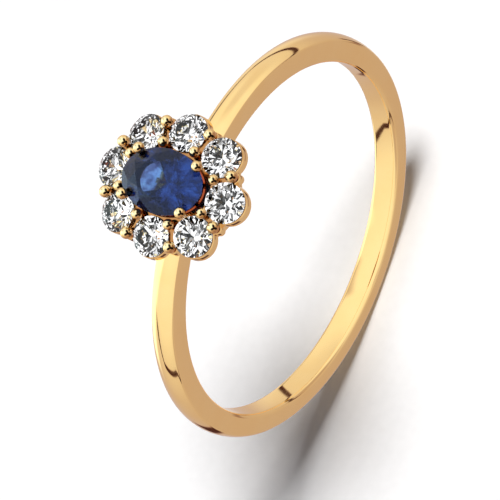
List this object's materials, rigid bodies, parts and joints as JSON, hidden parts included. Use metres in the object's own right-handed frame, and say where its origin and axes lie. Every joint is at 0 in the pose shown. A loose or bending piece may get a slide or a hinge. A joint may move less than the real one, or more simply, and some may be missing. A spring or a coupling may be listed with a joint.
{
  "type": "engagement ring",
  "caption": "Yellow-gold finger ring with a claw-set oval blue centre stone inside a petal-edged halo of small round clear stones, on a slim D-section band.",
  "frame": {"origin": "on the outside of the band at its lowest point, under the middle of the ring", "axes": "+Z from the bottom of the band up through the middle of the head, +Y along the finger, +X along the band where it passes under the head"},
  "size_m": [0.0198, 0.008, 0.0224],
  "materials": {
    "yellow_gold": "polished",
    "sapphire_stone": "polished",
    "diamond_stone": "polished"
  },
  "bodies": {
    "root": {"shank": "yellow_gold", "base_rail": "yellow_gold", "halo_tray": "yellow_gold", "sapphire_collet": "yellow_gold", "outer_claw_1": "yellow_gold", "outer_claw_2": "yellow_gold", "outer_claw_3": "yellow_gold", "outer_claw_4": "yellow_gold", "outer_claw_5": "yellow_gold", "outer_claw_6": "yellow_gold", "outer_claw_7": "yellow_gold", "outer_claw_8": "yellow_gold", "inner_claw_1": "yellow_gold", "inner_claw_2": "yellow_gold", "inner_claw_3": "yellow_gold", "inner_claw_4": "yellow_gold", "inner_claw_5": "yellow_gold", "inner_claw_6": "yellow_gold", "inner_claw_7": "yellow_gold", "inner_claw_8": "yellow_gold", "sapphire_claw_1": "yellow_gold", "sapphire_claw_2": "yellow_gold", "sapphire_claw_3": "yellow_gold", "sapphire_claw_4": "yellow_gold", "sapphire": "sapphire_stone", "diamond_1": "diamond_stone", "diamond_2": "diamond_stone", "diamond_3": "diamond_stone", "diamond_4": "diamond_stone", "diamond_5": "diamond_stone", "diamond_6": "diamond_stone", "diamond_7": "diamond_stone", "diamond_8": "diamond_stone"}
  },
  "joints": []
}
